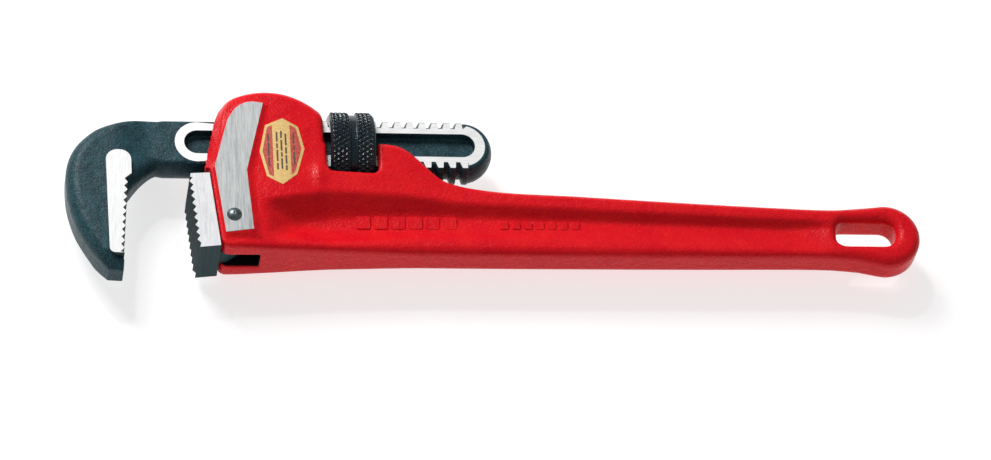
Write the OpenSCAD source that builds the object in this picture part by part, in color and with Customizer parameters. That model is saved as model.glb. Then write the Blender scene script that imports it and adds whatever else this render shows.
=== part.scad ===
// Straight pipe wrench, lying on its side.
// +X runs along the shank towards the end of the handle, +Y from the heel jaw side to the shank side,
// +Z through the thickness. The shapes are drawn round a point inside the adjusting nut, on the axis of
// the shank. in_frame() then moves the origin to the middle of the underside of the whole wrench.

/* [Shank and thread] */
// Crest diameter of the thread on the shank
thread_d = 25.4; // [25.2:0.1:25.4]
// Distance from one thread crest to the next
thread_pitch = 5.08; // [5.0:0.02:5.1]
// Height of a thread above its root
thread_h = 2.1; // [1.6:0.1:2.2]
// Thickness of the flat-sided shank
shank_t = 13.4; // [12.8:0.1:13.4]
// Depth of the long hollow in each side of the shank
hollow_depth = 4; // [2:0.25:4.5]
// Thickness of the hook at its jaw
hook_t = 19; // [16:0.5:20]

/* [Adjusting nut] */
// Outer diameter over the knurls
nut_d = 32.8; // [31:0.1:33]
// Length along the shank
nut_l = 18.4; // [17.5:0.1:18.6]
// Radial clearance between the threads of nut and shank
thread_play = 0.3; // [0.2:0.05:0.4]

/* [Handle casting] */
// Thickness of the housing round the shank
housing_t = 25.4; // [24:0.1:26]
// Thickness of the grip
grip_t = 16; // [14:0.5:18]
// Thickness of the web between the flanges of the grip
web_t = 7; // [5:0.5:9]
// Height of the machined pad on each side of the housing
pad_h = 1.5; // [0.8:0.1:1.8]
// Length of the hole in the end of the handle
hole_l = 25.5; // [20:0.5:27]
// Width of that hole
hole_w = 11; // [8:0.5:12]

/* [Heel jaw] */
// Diameter of the pin that holds the heel jaw
pin_d = 6.1; // [5:0.1:7]
// Thickness of the tang that enters the handle
tang_t = 9; // [7:0.5:10]
// Distance from tooth to tooth
tooth_pitch = 3.4; // [3:0.1:3.6]
// Depth of the teeth
tooth_h = 1.3; // [0.8:0.1:1.5]

/* [Springs and label] */
// Wire diameter of the coil spring
wire_d = 1.3; // [1:0.1:1.5]
// Outer diameter of the coil spring
coil_d = 7.4; // [6.5:0.1:7.6]
// Thickness of the flat spring
leaf_t = 1; // [0.7:0.1:1.2]
// Thickness of the label
label_t = 0.2; // [0.1:0.05:0.4]

/* [Hidden] */

red = [0.78, 0.08, 0.12];
black = [0.16, 0.2, 0.22];
steel = [0.75, 0.76, 0.78];
gold = [0.86, 0.7, 0.42];

// Furthest reach of the wrench from that point, which fixes the middle of its underside
reach_x = [-118, 234.5];
reach_y = [-59.4, 22.3];
eps = 0.01;

crest_r = thread_d / 2;
root_r = crest_r - thread_h;
nut_r = nut_d / 2;
pad_z = housing_t / 2 + pad_h;
slide_gap = 0.5;            // each side of the shank in the handle
channel_z = shank_t / 2 + slide_gap;
window = [-11.6, 9.5];      // ends of the space that the nut turns in
nut_start = -10;            // end of the nut towards the jaws
saddle_r = nut_r + 1;
bore_play = 0.05;

// ---- outlines -----------------------------------------------------------------------------------
arc_steps = 8;

function unit(v) = v / norm(v);

// Points that round the corner b, between a and c, to radius r
function corner(a, b, c, r) =
    r <= 0 ? [b] :
    let (
        u = unit(a - b),
        v = unit(c - b),
        half = acos(u * v) / 2,
        centre = b + unit(u + v) * r / sin(half),
        from = b + u * r / tan(half) - centre,
        to = b + v * r / tan(half) - centre,
        turn = atan2(from.x * to.y - from.y * to.x, from * to)
    )
    [for (i = [0 : arc_steps])
        let (t = turn * i / arc_steps)
        centre + [from.x * cos(t) - from.y * sin(t), from.x * sin(t) + from.y * cos(t)]];

// Outline from corners [x, y, radius]
function rounded(pts) =
    let (n = len(pts), xy = [for (p = pts) [p.x, p.y]])
    [for (i = [0 : n - 1]) each corner(xy[(i + n - 1) % n], xy[i], xy[(i + 1) % n], pts[i][2])];

function sharp(pts) = [for (p = pts) [p.x, p.y, 0]];

// Smooth curve through the points, with the given number of steps between two of them
function curve(pts, steps = 4) =
    let (last = len(pts) - 1)
    [for (i = [0 : last - 1], k = [0 : steps - 1])
        let (
            t = k / steps,
            p0 = pts[max(i - 1, 0)],
            p1 = pts[i],
            p2 = pts[i + 1],
            p3 = pts[min(i + 2, last)]
        )
        0.5 * (2 * p1 + (p2 - p0) * t + (2 * p0 - 5 * p1 + 4 * p2 - p3) * t * t
            + (3 * p1 - p0 - 3 * p2 + p3) * t * t * t),
     pts[last]];

// Saw teeth along the line from a to b. They stand out to the left of that direction.
function teeth(a, b, count, h) =
    let (d = (b - a) / count, out = h * unit([-d.y, d.x]))
    [for (i = [0 : count - 1]) each [a + d * i, a + d * (i + 0.45) + out, a + d * (i + 0.55) + out],
     b];

// ---- helpers ------------------------------------------------------------------------------------
module in_frame() {
    translate([-(reach_x[0] + reach_x[1]) / 2, -(reach_y[0] + reach_y[1]) / 2, nut_r])
        children();
}

// Straight slab of the given outline, centred on the middle plane
module slab(points, t) {
    translate([0, 0, -t / 2])
        linear_extrude(height = t) polygon(points);
}

// Turns a solid made round Z so that it lies round the shank axis
module along_shank() {
    rotate([0, 90, 0]) children();
}

module both_sides() {
    children();
    mirror([0, 0, 1]) children();
}

// ---- handle -------------------------------------------------------------------------------------
crown = [-35.5, -10];       // centre of the rounded top of the housing
crown_r = 32.3;
front_low = [-62.3, -15.2]; // lower end of the front edge of the housing
front_high = [-55.4, 18.6];
heel_back = [[-59.9, -16.6], [-55.9, -52.2]];
tail = [220.4, -39];        // centre of the round end
tail_r = 14;
hole_x = 211.8;             // middle of the hole
pin_at = [-50.8, -38.2];
coil_x = -26;               // where the coil spring stands
leaf_top = -crest_r - 0.2;  // top face of the flat spring
leaf_x = [-54, -18];
channel_floor = -18;
pocket_r = coil_d / 2 + 0.4;
pocket_depth = 8.6;

housing_outline = rounded([
    [front_low.x, front_low.y, 0.6],
    [heel_back[0].x, heel_back[0].y, 0],
    [heel_back[1].x, heel_back[1].y, 2],
    [-10, -51.6, 0],
    [-10, -15.2, 0],
    [window[0], -15.2, 0],
    [window[0], 18, 0],
    [-30, 30, 0],
    [front_high.x, front_high.y, 3],
    [-58, 9.8, 0],
    [-61, -0.6, 0],
    [-62.2, -9.5, 0]
]);

grip_outline = rounded(concat(
    [[-12, -51.6, 0], [60, -51.8, 0]],
    sharp(curve([[120, -51.1], [183, -50.4], [198, -50.6], [209, -51.7]])),
    sharp([for (i = [0 : 20]) let (a = i / 20 * 206 - 13) tail + tail_r * [sin(a), -cos(a)]]),
    sharp(curve([[209, -26.3], [198, -27.3], [183, -27], [120, -24.1], [65, -21.5], [52, -20.5], [44, -19.4],
                 [39, -17.3], [33.3, -13.5], [27.2, -7.8], [21.8, -3.3], [17.3, -1.3], [13, -0.6]])),
    [[window[1], -0.6, 0], [window[1], -15.2, 0], [-12, -15.2, 0]]
));

// Half section seen along Y: full at the housing, thinner towards the grip and the end
thickness = [
    [-70, housing_t / 2], [-28, housing_t / 2], [12, 10.4], [40, grip_t / 2], [236, grip_t / 2 - 0.4]
];

pad_outline = concat(
    [[-54.4, -46.6], [-43, -45.2], [-45, -17.2], [-37.3, 14.6]],
    curve([[-41.3, 15.4], [-44.8, 14.8], [-48.6, 12.3], [-52.2, 6.4]]),
    [[-58, -15.5]]
);

module handle_body() {
    intersection() {
        union() {
            intersection() {
                slab(housing_outline, housing_t);
                translate([crown.x, crown.y, -housing_t / 2])
                    cylinder(r = crown_r, h = housing_t, $fn = 96);
            }
            slab(rounded([[-58.5, -30, 0], [heel_back[1].x, heel_back[1].y, 2], [-10, -51.6, 0],
                          [-10, -15.2, 0], [-58.5, -15.2, 0]]), housing_t);
            slab(grip_outline, housing_t);
        }
        rotate([90, 0, 0])
            translate([0, 0, -30])
            linear_extrude(height = 100)
            polygon(concat(thickness, [for (i = [len(thickness) - 1 : -1 : 0])
                                           [thickness[i].x, -thickness[i].y]]));
    }
}

// Slanted cut along the front edge of the housing, above the heel jaw
module front_bevel() {
    lean = atan2(front_high.x - front_low.x, front_high.y - front_low.y);
    translate([front_low.x, front_low.y, 0])
        rotate([0, 0, -lean])
        rotate([-90, 0, 0])
        linear_extrude(height = 60, center = true)
        polygon([[-2, -channel_z - 0.6], [0, -channel_z - 0.6], [4, -housing_t / 2 - eps],
                 [4, -housing_t], [-2, -housing_t]]);
}

// Hollow in the side of the grip, between its flanges. It is cut to the web by slanting walls.
module web_hollow() {
    rise = 10;
    spread = 12.5;
    translate([80, -37.8, web_t / 2])
        rotate([0, 0, -0.8])
        intersection() {
            rotate([90, 0, 90])
                linear_extrude(height = 260, center = true)
                polygon([[-2.8, 0], [2.8, 0], [2.8 + spread, rise], [-2.8 - spread, rise]]);
            rotate([90, 0, 0])
                linear_extrude(height = 60, center = true)
                polygon([[-100, 0], [103, 0], [103 + spread, rise], [-100 - spread, rise]]);
        }
}

module pad() {
    foot = [for (p = pad_outline) p + unit(p - [-48, -16]) * 0.7];
    translate([0, 0, housing_t / 2 - 1])
        linear_extrude(height = 1 + pad_h / 2) polygon(foot);
    translate([0, 0, housing_t / 2 - 1])
        linear_extrude(height = 1 + pad_h) polygon(pad_outline);
}

module hang_hole() {
    for (side = [-1, 1])
        translate([hole_x + side * (hole_l - hole_w) / 2, tail.y, -housing_t])
            cylinder(d = hole_w, h = 2 * housing_t, $fn = 48);
    translate([hole_x - (hole_l - hole_w) / 2, tail.y - hole_w / 2, -housing_t])
        cube([hole_l - hole_w, hole_w, 2 * housing_t]);
}

module handle() {
    color(red)
    in_frame()
    difference() {
        union() {
            handle_body();
            both_sides() pad();
        }
        both_sides() front_bevel();
        both_sides() web_hollow();
        hang_hole();
        // channel for the shank
        translate([-70, channel_floor, -channel_z])
            cube([70, crest_r + 0.4 - channel_floor, 2 * channel_z]);
        translate([-eps, channel_floor, -channel_z])
            cube([60, 40, 2 * channel_z]);
        // window and saddle for the nut
        translate([window[0], 0, 0])
            along_shank()
            cylinder(r = saddle_r, h = window[1] - window[0], $fn = 96);
        // slot for the tang of the heel jaw
        translate([-70, -60, -tang_t / 2 - 0.1])
            cube([30, 40, tang_t + 0.2]);
        // bore for the heel jaw pin
        translate([pin_at.x, pin_at.y, -housing_t])
            cylinder(d = pin_d + 2 * bore_play, h = 2 * housing_t, $fn = 48);
        // pocket for the coil spring
        translate([coil_x, channel_floor + eps, 0])
            rotate([90, 0, 0])
            cylinder(r = pocket_r, h = pocket_depth, $fn = 48);
    }
}

// ---- hook jaw -----------------------------------------------------------------------------------
thread_x = [-47.9, 46.5];   // first thread on the shank, and the limit for the last
plain_r = 11.7;             // radius of the shank where it has no thread
shank_end = 45.6;           // centre of the domed end
dome_r = crest_r - 0.3;
tooth_top = [-94.3, -19.6];
tooth_low = [-96.6, -53.6];
hook_teeth = round(norm(tooth_top - tooth_low) / tooth_pitch);
crest_w = 2.2;
root_w = 3.4;
crest_shift = 0.3;          // the crest sits a little towards the handle end of its root
helix_tilt = atan(thread_pitch / (PI * (crest_r + root_r)));

hook_outer = curve([
    [-82, 9.8], [-90, 9.8], [-98.8, 8.2], [-105.4, 5.6], [-111.6, 0.2], [-115.4, -5.4], [-117.5, -12],
    [-118, -19], [-117.3, -28], [-114.6, -38.2], [-111, -45.8], [-106.4, -53.2], [-101.4, -59]
]);

hook_outline = concat(
    [[-74, 9.4]],
    hook_outer,
    [[-95.3, -59.4], [-94.9, -54.4]],
    teeth(tooth_low, tooth_top, hook_teeth, -tooth_h),
    [[-91.4, -17.2], [-91.4, -9.6], [-74, -9.6]]
);

throat_outline = concat(
    [[-70, 9.4], [-96, 9.2], [-96, -30], [-93.6, -24]],
    curve([[-92.4, -22.5], [-89.8, -19.3], [-86, -15.1], [-80.8, -11.2], [-75.5, -9.7]]),
    [[-70, -9.6]]
);

band_outline = rounded(concat(
    [[-101.2, -54.2, 2.5], [-95.2, -54.2, 0]],
    sharp(teeth(tooth_low, tooth_top, hook_teeth, -tooth_h)),
    [[-91.4, -17.2, 0], [-91.4, -5.9, 4.8], [-102, -5.9, 4.8]]
));

// One thread crest all the way round, with a steep face towards the handle end
module thread_ring() {
    along_shank()
        rotate_extrude($fn = 64)
        polygon([[root_r - 1, -root_w / 2], [root_r, -root_w / 2],
                 [crest_r, crest_shift - crest_w / 2], [crest_r, crest_shift + crest_w / 2],
                 [root_r, root_w / 2], [root_r - 1, root_w / 2]]);
}

module thread_side(first) {
    intersection() {
        for (x = [first : thread_pitch : thread_x[1]])
            translate([x, 0, 0])
                rotate([0, helix_tilt, 0]) thread_ring();
        translate([-80, 0, -shank_t / 2])
            cube([160, 20, shank_t]);
    }
}

module shank() {
    intersection() {
        union() {
            along_shank() {
                translate([0, 0, -90])
                    cylinder(r = plain_r, h = 90 + thread_x[0], $fn = 96);
                translate([0, 0, -60])
                    cylinder(r = root_r, h = 60 + shank_end, $fn = 96);
            }
            translate([shank_end, 0, 0])
                intersection() {
                    sphere(r = dome_r, $fn = 64);
                    translate([0, -20, -20])
                        cube(40);
                }
        }
        translate([-95, -20, -shank_t / 2])
            cube([180, 40, shank_t]);
    }
    thread_side(thread_x[0]);
    rotate([180, 0, 0]) thread_side(thread_x[0] + thread_pitch / 2);
}

module shank_hollow() {
    ends = [-64, 45];
    translate([0, 0, shank_t / 2 - hollow_depth]) {
        for (x = ends)
            translate([x, 0, 0])
                cylinder(r = 5.3, h = hollow_depth + 1, $fn = 48);
        translate([ends[0], -5.3, 0])
            cube([ends[1] - ends[0], 10.6, hollow_depth + 1]);
    }
}

module hook_jaw() {
    color(black)
    in_frame()
    difference() {
        union() {
            shank();
            slab(throat_outline, shank_t);
            intersection() {
                slab(hook_outline, hook_t);
                // the hook is thinner at its tip and where it meets the shank
                rotate([90, 0, 90])
                    translate([0, 0, -130])
                    linear_extrude(height = 70)
                    polygon([[-62, -5.3], [-59.5, -5.6], [-54, -hook_t / 2], [20, -hook_t / 2],
                             [20, hook_t / 2], [-54, hook_t / 2], [-59.5, 5.6], [-62, 5.3]]);
                rotate([90, 0, 0])
                    translate([0, 0, -30])
                    linear_extrude(height = 100)
                    polygon([[-130, -hook_t / 2], [-94, -hook_t / 2], [-87, -shank_t / 2],
                             [-60, -shank_t / 2], [-60, shank_t / 2], [-87, shank_t / 2],
                             [-94, hook_t / 2], [-130, hook_t / 2]]);
            }
            slab(band_outline, hook_t + 1);
        }
        both_sides() shank_hollow();
    }
}

// ---- adjusting nut ------------------------------------------------------------------------------
nut_bore_r = crest_r + thread_play;
helix_steps = 40;
groove_r = 15.3;            // radius of the plain band between the two knurls

// Section of the ridge of the nut's thread, as [radius, place along the shank]
ridge_inner = root_r + thread_play;
ridge_outer = nut_bore_r + 0.6;
ridge_tip_w = thread_pitch - root_w - 2 * thread_play + 0.2;
ridge_foot_w = thread_pitch - crest_w - 2 * thread_play;
ridge = [
    [ridge_inner, -ridge_tip_w / 2],
    [ridge_outer, crest_shift - ridge_foot_w / 2],
    [ridge_outer, crest_shift + ridge_foot_w / 2],
    [ridge_inner, ridge_tip_w / 2]
];

// Right-hand thread inside the nut. At its top it lies half a pitch from a crest of the shank.
module nut_ridge(length) {
    middle = nut_start + nut_l / 2;
    n = round(length / thread_pitch * helix_steps);
    pts = [for (i = [0 : n])
        let (
            z = middle + length * (i / n - 0.5),
            a = 360 * (z - thread_x[0]) / thread_pitch - 90
        )
        each [for (p = ridge) [p.x * cos(a), p.x * sin(a), p.y + z]]];
    polyhedron(
        points = pts,
        faces = concat(
            [[3, 2, 1, 0]],
            [for (i = [0 : n - 1], k = [0 : 3])
                each [[4 * i + k, 4 * i + (k + 1) % 4, 4 * i + 4 + (k + 1) % 4],
                      [4 * i + k, 4 * i + 4 + (k + 1) % 4, 4 * i + 4 + k]]],
            [[4 * n, 4 * n + 1, 4 * n + 2, 4 * n + 3]]
        )
    );
}

module adjusting_nut() {
    color(black)
    in_frame()
    along_shank()
    union() {
        rotate_extrude($fn = 96)
            translate([0, nut_start])
            polygon([[nut_bore_r, 0], [14.2, 0], [15, 0.6], [nut_r, 1.2], [nut_r, 7.6], [groove_r, 8.4],
                     [groove_r, 10.8], [nut_r, 11.4], [nut_r, 16.6], [14.9, nut_l], [nut_bore_r, nut_l]]);
        nut_ridge(2.8 * thread_pitch);
    }
}

// ---- heel jaw and its pin -----------------------------------------------------------------------
heel_front = [[-67.2, -20.4], [-64.5, -50.8]];
heel_teeth = round(norm(heel_front[1] - heel_front[0]) / tooth_pitch);
heel_shift = 0.15;          // moves the block clear of the face of the housing

heel_outline = concat(
    [[-59.8, -17.8], [-67.9, -18.3], [-68.1, -20.4]],
    teeth(heel_front[0], heel_front[1], heel_teeth, -tooth_h),
    [[-65.1, -52.9], [-56, -51.9]]
);

module heel_jaw() {
    color(black)
    in_frame()
    difference() {
        union() {
            slab([for (p = heel_outline) p - [heel_shift, 0]], housing_t);
            slab([[-63, -21], [-61, -50.5], [-42, -50.5], [-42, -24.5], [-45.5, -21]], tang_t);
        }
        translate([pin_at.x, pin_at.y, -housing_t])
            cylinder(d = pin_d + 2 * bore_play, h = 2 * housing_t, $fn = 48);
    }
}

module heel_jaw_pin() {
    dome_h = 1.5;
    head_r = (pow(pin_d / 2, 2) + dome_h * dome_h) / (2 * dome_h);
    color(steel)
    in_frame()
    translate([pin_at.x, pin_at.y, -pad_z])
        union() {
            cylinder(d = pin_d, h = 2 * pad_z, $fn = 48);
            translate([0, 0, 2 * pad_z + dome_h - head_r])
                intersection() {
                    sphere(r = head_r, $fn = 48);
                    cylinder(d = pin_d, h = head_r + 1, $fn = 48);
                }
        }
}

// ---- springs and label --------------------------------------------------------------------------
coil_turns = 5;
coil_steps = 18;
wire_sides = 8;

module coil_spring() {
    base_y = channel_floor - pocket_depth + wire_d / 2 + 0.1;
    rise = leaf_top - leaf_t - 0.1 - wire_d / 2 - base_y;
    ring_r = (coil_d - wire_d) / 2;
    n = coil_turns * coil_steps;
    pts = [for (i = [0 : n])
        let (a = 360 * i / coil_steps)
        each [for (k = [0 : wire_sides - 1])
            let (b = 360 * k / wire_sides, r = ring_r + wire_d / 2 * cos(b))
            [r * cos(a), r * sin(a), rise * i / n + wire_d / 2 * sin(b)]]];
    color(steel)
    in_frame()
    translate([coil_x, base_y, 0])
        rotate([-90, 0, 0])
        polyhedron(
            points = pts,
            faces = concat(
                [[for (k = [0 : wire_sides - 1]) k]],
                [for (i = [0 : n - 1], k = [0 : wire_sides - 1])
                    let (j = (k + 1) % wire_sides, p = wire_sides * i)
                    each [[p + k, p + wire_sides + k, p + j],
                          [p + j, p + wire_sides + k, p + wire_sides + j]]],
                [[for (k = [wire_sides - 1 : -1 : 0]) wire_sides * n + k]]
            )
        );
}

module flat_spring() {
    low = leaf_top - leaf_t;
    color(steel)
    in_frame()
    slab([[leaf_x[0], leaf_top - 0.9], [leaf_x[0] + 2, leaf_top - 0.2], [leaf_x[0] + 6, leaf_top],
          [leaf_x[1], leaf_top], [leaf_x[1], low], [leaf_x[0] + 6, low],
          [leaf_x[0] + 2, low - 0.2], [leaf_x[0], low - 0.9]], 11);
}

module label() {
    color(gold)
    in_frame()
    translate([0, 0, housing_t / 2])
        linear_extrude(height = label_t)
        polygon([[-29.5, 8.2], [-23.2, 4.5], [-20.9, -5.9], [-24.3, -17.9], [-30.4, -23],
                 [-36.8, -19.4], [-39.4, -7.7], [-36.7, 4.8]]);
}

handle();
hook_jaw();
adjusting_nut();
heel_jaw();
heel_jaw_pin();
coil_spring();
flat_spring();
label();
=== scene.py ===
import math

import bmesh
import bpy
import numpy as np
import openvdb
from mathutils import Matrix, Vector
from mathutils.geometry import tessellate_polygon


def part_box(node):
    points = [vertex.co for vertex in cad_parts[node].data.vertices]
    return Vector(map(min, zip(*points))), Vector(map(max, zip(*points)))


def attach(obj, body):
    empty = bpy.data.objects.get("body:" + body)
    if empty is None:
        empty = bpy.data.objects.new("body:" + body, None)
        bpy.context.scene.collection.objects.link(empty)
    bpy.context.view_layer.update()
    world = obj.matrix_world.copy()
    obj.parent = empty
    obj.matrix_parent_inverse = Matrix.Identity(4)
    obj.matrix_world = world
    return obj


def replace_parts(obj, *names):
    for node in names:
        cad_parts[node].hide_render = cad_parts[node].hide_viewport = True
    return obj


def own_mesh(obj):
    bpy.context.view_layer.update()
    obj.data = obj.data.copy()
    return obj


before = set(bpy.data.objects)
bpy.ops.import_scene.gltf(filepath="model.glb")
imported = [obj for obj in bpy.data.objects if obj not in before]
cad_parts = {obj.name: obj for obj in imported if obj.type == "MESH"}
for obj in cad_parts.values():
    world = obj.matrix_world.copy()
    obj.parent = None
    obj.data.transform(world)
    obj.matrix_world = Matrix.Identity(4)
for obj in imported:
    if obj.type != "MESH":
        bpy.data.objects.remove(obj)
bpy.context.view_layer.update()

# Shapes are drawn in millimetres about ORIGIN, a point inside the adjusting nut on the axis of the
# shank: X runs along the shank towards the end of the handle, Y from the heel jaw to the shank, Z
# through the thickness.
MM = 0.001
NUT_START = -10
nut_low, nut_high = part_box("adjusting_nut")
NUT_X = (NUT_START, NUT_START + (nut_high.x - nut_low.x) / MM)
NUT_R = (nut_high.z - nut_low.z) / 2 / MM
ORIGIN = Vector((nut_low.x - NUT_START * MM, (nut_low.y + nut_high.y) / 2, (nut_low.z + nut_high.z) / 2))


# ---- outlines -----------------------------------------------------------------------------------
def corner(a, b, c, radius, steps=8):
    """Points that round the corner b, between a and c."""
    a, b, c = (np.array(p[:2], float) for p in (a, b, c))
    if radius <= 0:
        return [tuple(b)]
    u, v = (a - b) / np.linalg.norm(a - b), (c - b) / np.linalg.norm(c - b)
    half = math.acos(np.clip(u @ v, -1, 1)) / 2
    centre = b + (u + v) / np.linalg.norm(u + v) * radius / math.sin(half)
    start = b + u * radius / math.tan(half) - centre
    stop = b + v * radius / math.tan(half) - centre
    turn = math.atan2(start[0] * stop[1] - start[1] * stop[0], start @ stop)
    out = []
    for i in range(steps + 1):
        t = turn * i / steps
        out.append((centre[0] + start[0] * math.cos(t) - start[1] * math.sin(t),
                    centre[1] + start[0] * math.sin(t) + start[1] * math.cos(t)))
    return out


def rounded(points):
    """Closed outline from corners (x, y, radius)."""
    n = len(points)
    out = []
    for i, p in enumerate(points):
        out += corner(points[i - 1], p, points[(i + 1) % n], p[2])
    return out


def curve(points, steps=5):
    """Smooth curve through the points."""
    p = np.array([points[0], *points, points[-1]], float)
    out = []
    for i in range(1, len(points)):
        for k in range(steps):
            t = k / steps
            out.append(tuple(0.5 * (2 * p[i] + (p[i + 1] - p[i - 1]) * t
                       + (2 * p[i - 1] - 5 * p[i] + 4 * p[i + 1] - p[i + 2]) * t * t
                       + (3 * p[i] - p[i - 1] - 3 * p[i + 1] + p[i + 2]) * t ** 3)))
    return out + [tuple(points[-1])]


def arc(centre, radius, start, stop, steps=16):
    """Points on a circle, from one angle to the other, in degrees."""
    angles = [math.radians(start + (stop - start) * i / steps) for i in range(steps + 1)]
    return [(centre[0] + radius * math.cos(a), centre[1] + radius * math.sin(a)) for a in angles]


def teeth(a, b, count, height):
    """Saw teeth along the line from a to b, which stand out to its right."""
    a, b = np.array(a, float), np.array(b, float)
    step = (b - a) / count
    out = np.array([step[1], -step[0]]) / np.linalg.norm(step) * height
    points = []
    for i in range(count):
        points += [tuple(a + step * i), tuple(a + step * (i + 0.45) + out),
                   tuple(a + step * (i + 0.55) + out)]
    return points + [tuple(b)]


def inset(outline, depth):
    """The outline moved inwards (its points run counter-clockwise), with mitred corners."""
    p = np.array(outline, float)
    before, after = p - np.roll(p, 1, 0), np.roll(p, -1, 0) - p
    n1 = np.stack([-before[:, 1], before[:, 0]], 1) / np.linalg.norm(before, axis=1)[:, None]
    n2 = np.stack([-after[:, 1], after[:, 0]], 1) / np.linalg.norm(after, axis=1)[:, None]
    mid = n1 + n2
    mid /= np.maximum(0.35, (mid * n1).sum(1))[:, None]
    return p + mid * depth


def turned(outline):
    """The outline with its points counter-clockwise."""
    p = np.array(outline, float)
    q = np.roll(p, -1, 0)
    area = (p[:, 0] * q[:, 1] - q[:, 0] * p[:, 1]).sum()
    return p if area > 0 else p[::-1]


# ---- meshes -------------------------------------------------------------------------------------
def make_object(name, points, faces, materials, face_material=None, sharp=None):
    """Mesh object from points in millimetres about ORIGIN."""
    mesh = bpy.data.meshes.new(name)
    world = np.array(points, float) * MM + np.array(ORIGIN)
    mesh.from_pydata(world.tolist(), [], [tuple(map(int, f)) for f in faces])
    for m in materials:
        mesh.materials.append(m)
    if face_material is not None:
        mesh.polygons.foreach_set("material_index", np.array(face_material, np.int32))
    mesh.shade_smooth()
    if sharp:
        mesh.set_sharp_from_angle(angle=math.radians(sharp))
    mesh.validate()
    obj = bpy.data.objects.new(name, mesh)
    bpy.context.scene.collection.objects.link(obj)
    return obj


def finish_piece(obj, body, slot, *nodes):
    """Gives a piece its body, and hides the CAD nodes that it stands for. The slot is not used."""
    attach(obj, body)
    if nodes:
        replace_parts(obj, *nodes)
    return obj


def skin(rows, n):
    """Faces between rows of n points, which run counter-clockwise round the way from row to row."""
    return [[r * n + i, r * n + (i + 1) % n, (r + 1) * n + (i + 1) % n, (r + 1) * n + i]
            for r in range(rows - 1) for i in range(n)]


class Shell:
    """Points and faces of several closed solids in one mesh."""

    def __init__(self):
        self.points, self.faces, self.kinds = [], [], []

    def add(self, points, faces, kinds=0):
        base = len(self.points)
        self.points += [tuple(p) for p in points]
        self.faces += [[base + i for i in f] for f in faces]
        self.kinds += [kinds] * len(faces) if isinstance(kinds, int) else list(kinds)

    def prism(self, outline, low, high, chamfer=0.15, holes=(), cap_kind=0, side_kind=0):
        """Upright solid between two heights, with chamfered edges and holes."""
        loops = [turned(outline)] + [turned(h)[::-1] for h in holes]
        points, faces, kinds = [], [], []
        rings = []
        for loop in loops:
            inner = inset(loop, chamfer)
            n = len(loop)
            first = len(points)
            levels = ((inner, low), (loop, low + chamfer), (loop, high - chamfer), (inner, high))
            for flat, z in levels:
                points += [(p[0], p[1], z) for p in flat]
            sides = [[first + v for v in face] for face in skin(len(levels), n)]
            faces += sides
            kinds += [side_kind] * len(sides)
            rings.append((first, n, inner))
        flat_loops = [[Vector((p[0], p[1], 0)) for p in inner] for _, _, inner in rings]
        index = [(first + i, n) for first, n, _ in rings for i in range(n)]
        for tri in tessellate_polygon(flat_loops):
            a, b, c = (flat_point(flat_loops, t) for t in tri)
            if (b - a).cross(c - a).z < 0:
                tri = tri[::-1]
            faces.append([index[t][0] + 3 * index[t][1] for t in tri])
            faces.append([index[t][0] for t in reversed(tri)])
            kinds += [cap_kind, cap_kind]
        self.add(points, faces, kinds)

    def rings(self, rings):
        """Solid skinned over rings of points, capped at both ends."""
        n = len(rings[0])
        last = (len(rings) - 1) * n
        faces = skin(len(rings), n)
        faces.append(list(range(n - 1, -1, -1)))
        faces.append([last + i for i in range(n)])
        self.add([p for ring in rings for p in ring], faces)

    def build(self, name, materials, sharp=35):
        return make_object(name, self.points, self.faces, materials, self.kinds, sharp)


def flat_point(loops, index):
    """The point of that number, counted through all loops."""
    for loop in loops:
        if index < len(loop):
            return loop[index]
        index -= len(loop)
    raise IndexError(index)


# ---- distance fields ----------------------------------------------------------------------------
class Grid:
    """Regular points over a box, at which solids are given as distances, negative inside."""

    def __init__(self, low, high, cell):
        axes = [np.arange(a, b + cell, cell, dtype=np.float32) for a, b in zip(low, high)]
        self.low, self.cell = np.array(low), cell
        self.x, self.y, self.z = axes[0][:, None, None], axes[1][None, :, None], axes[2][None, None, :]
        self.az = np.abs(self.z)

    def flat(self, outline):
        """Distance to an outline in the XY plane."""
        x, y = self.x[..., 0], self.y[..., 0]
        best = np.full((x.size, y.size), 1e9, np.float32)
        inside = np.zeros(best.shape, bool)
        p = np.array(outline, np.float32)
        for (ax, ay), (bx, by) in zip(p, np.roll(p, -1, 0)):
            ex, ey = bx - ax, by - ay
            length = ex * ex + ey * ey
            if length < 1e-9:
                continue
            t = np.clip(((x - ax) * ex + (y - ay) * ey) / length, 0, 1)
            best = np.minimum(best, (x - ax - ex * t) ** 2 + (y - ay - ey * t) ** 2)
            if ay != by:
                inside ^= ((y >= ay) != (y >= by)) & (x < ax + (y - ay) * ex / ey)
        return np.where(inside, -1, 1)[..., None] * np.sqrt(best)[..., None]

    def span(self, values, low, high):
        """Distance to the slab between two values of one coordinate."""
        return np.maximum(low - values, values - high)

    def mesh(self, name, field, material):
        """Closed surface of the solid."""
        band = 3 * self.cell
        volume = openvdb.FloatGrid(band)
        volume.copyFromArray(np.clip(field, -band, band).astype(np.float32))
        points, quads = volume.convertToQuads(isovalue=0.0)
        return make_object(name, points * self.cell + self.low, quads, [material])


def higher(a, b, width):
    """The higher of two heights, eased where they cross."""
    near = np.maximum(width - np.abs(a - b), 0) / width
    return np.maximum(a, b) + near * near * width / 4


def both(a, b, r):
    """What lies in both solids, with its new edges rounded to radius r."""
    u, v = a + r, b + r
    return np.minimum(np.maximum(u, v), 0) + np.hypot(np.maximum(u, 0), np.maximum(v, 0)) - r


def either(a, b, r):
    """The two solids together, with a fillet of radius r."""
    return -both(-a, -b, r)


def less(a, b, r):
    """Solid a without b, with its new edges rounded."""
    return both(a, -b, r)


def profile(values, at, heights, soften=5):
    """Value that follows the given heights, with its corners eased."""
    shifts = np.linspace(-soften, soften, 9)
    return np.mean([np.interp(values + s, at, heights) for s in shifts], axis=0).astype(np.float32)


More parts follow.
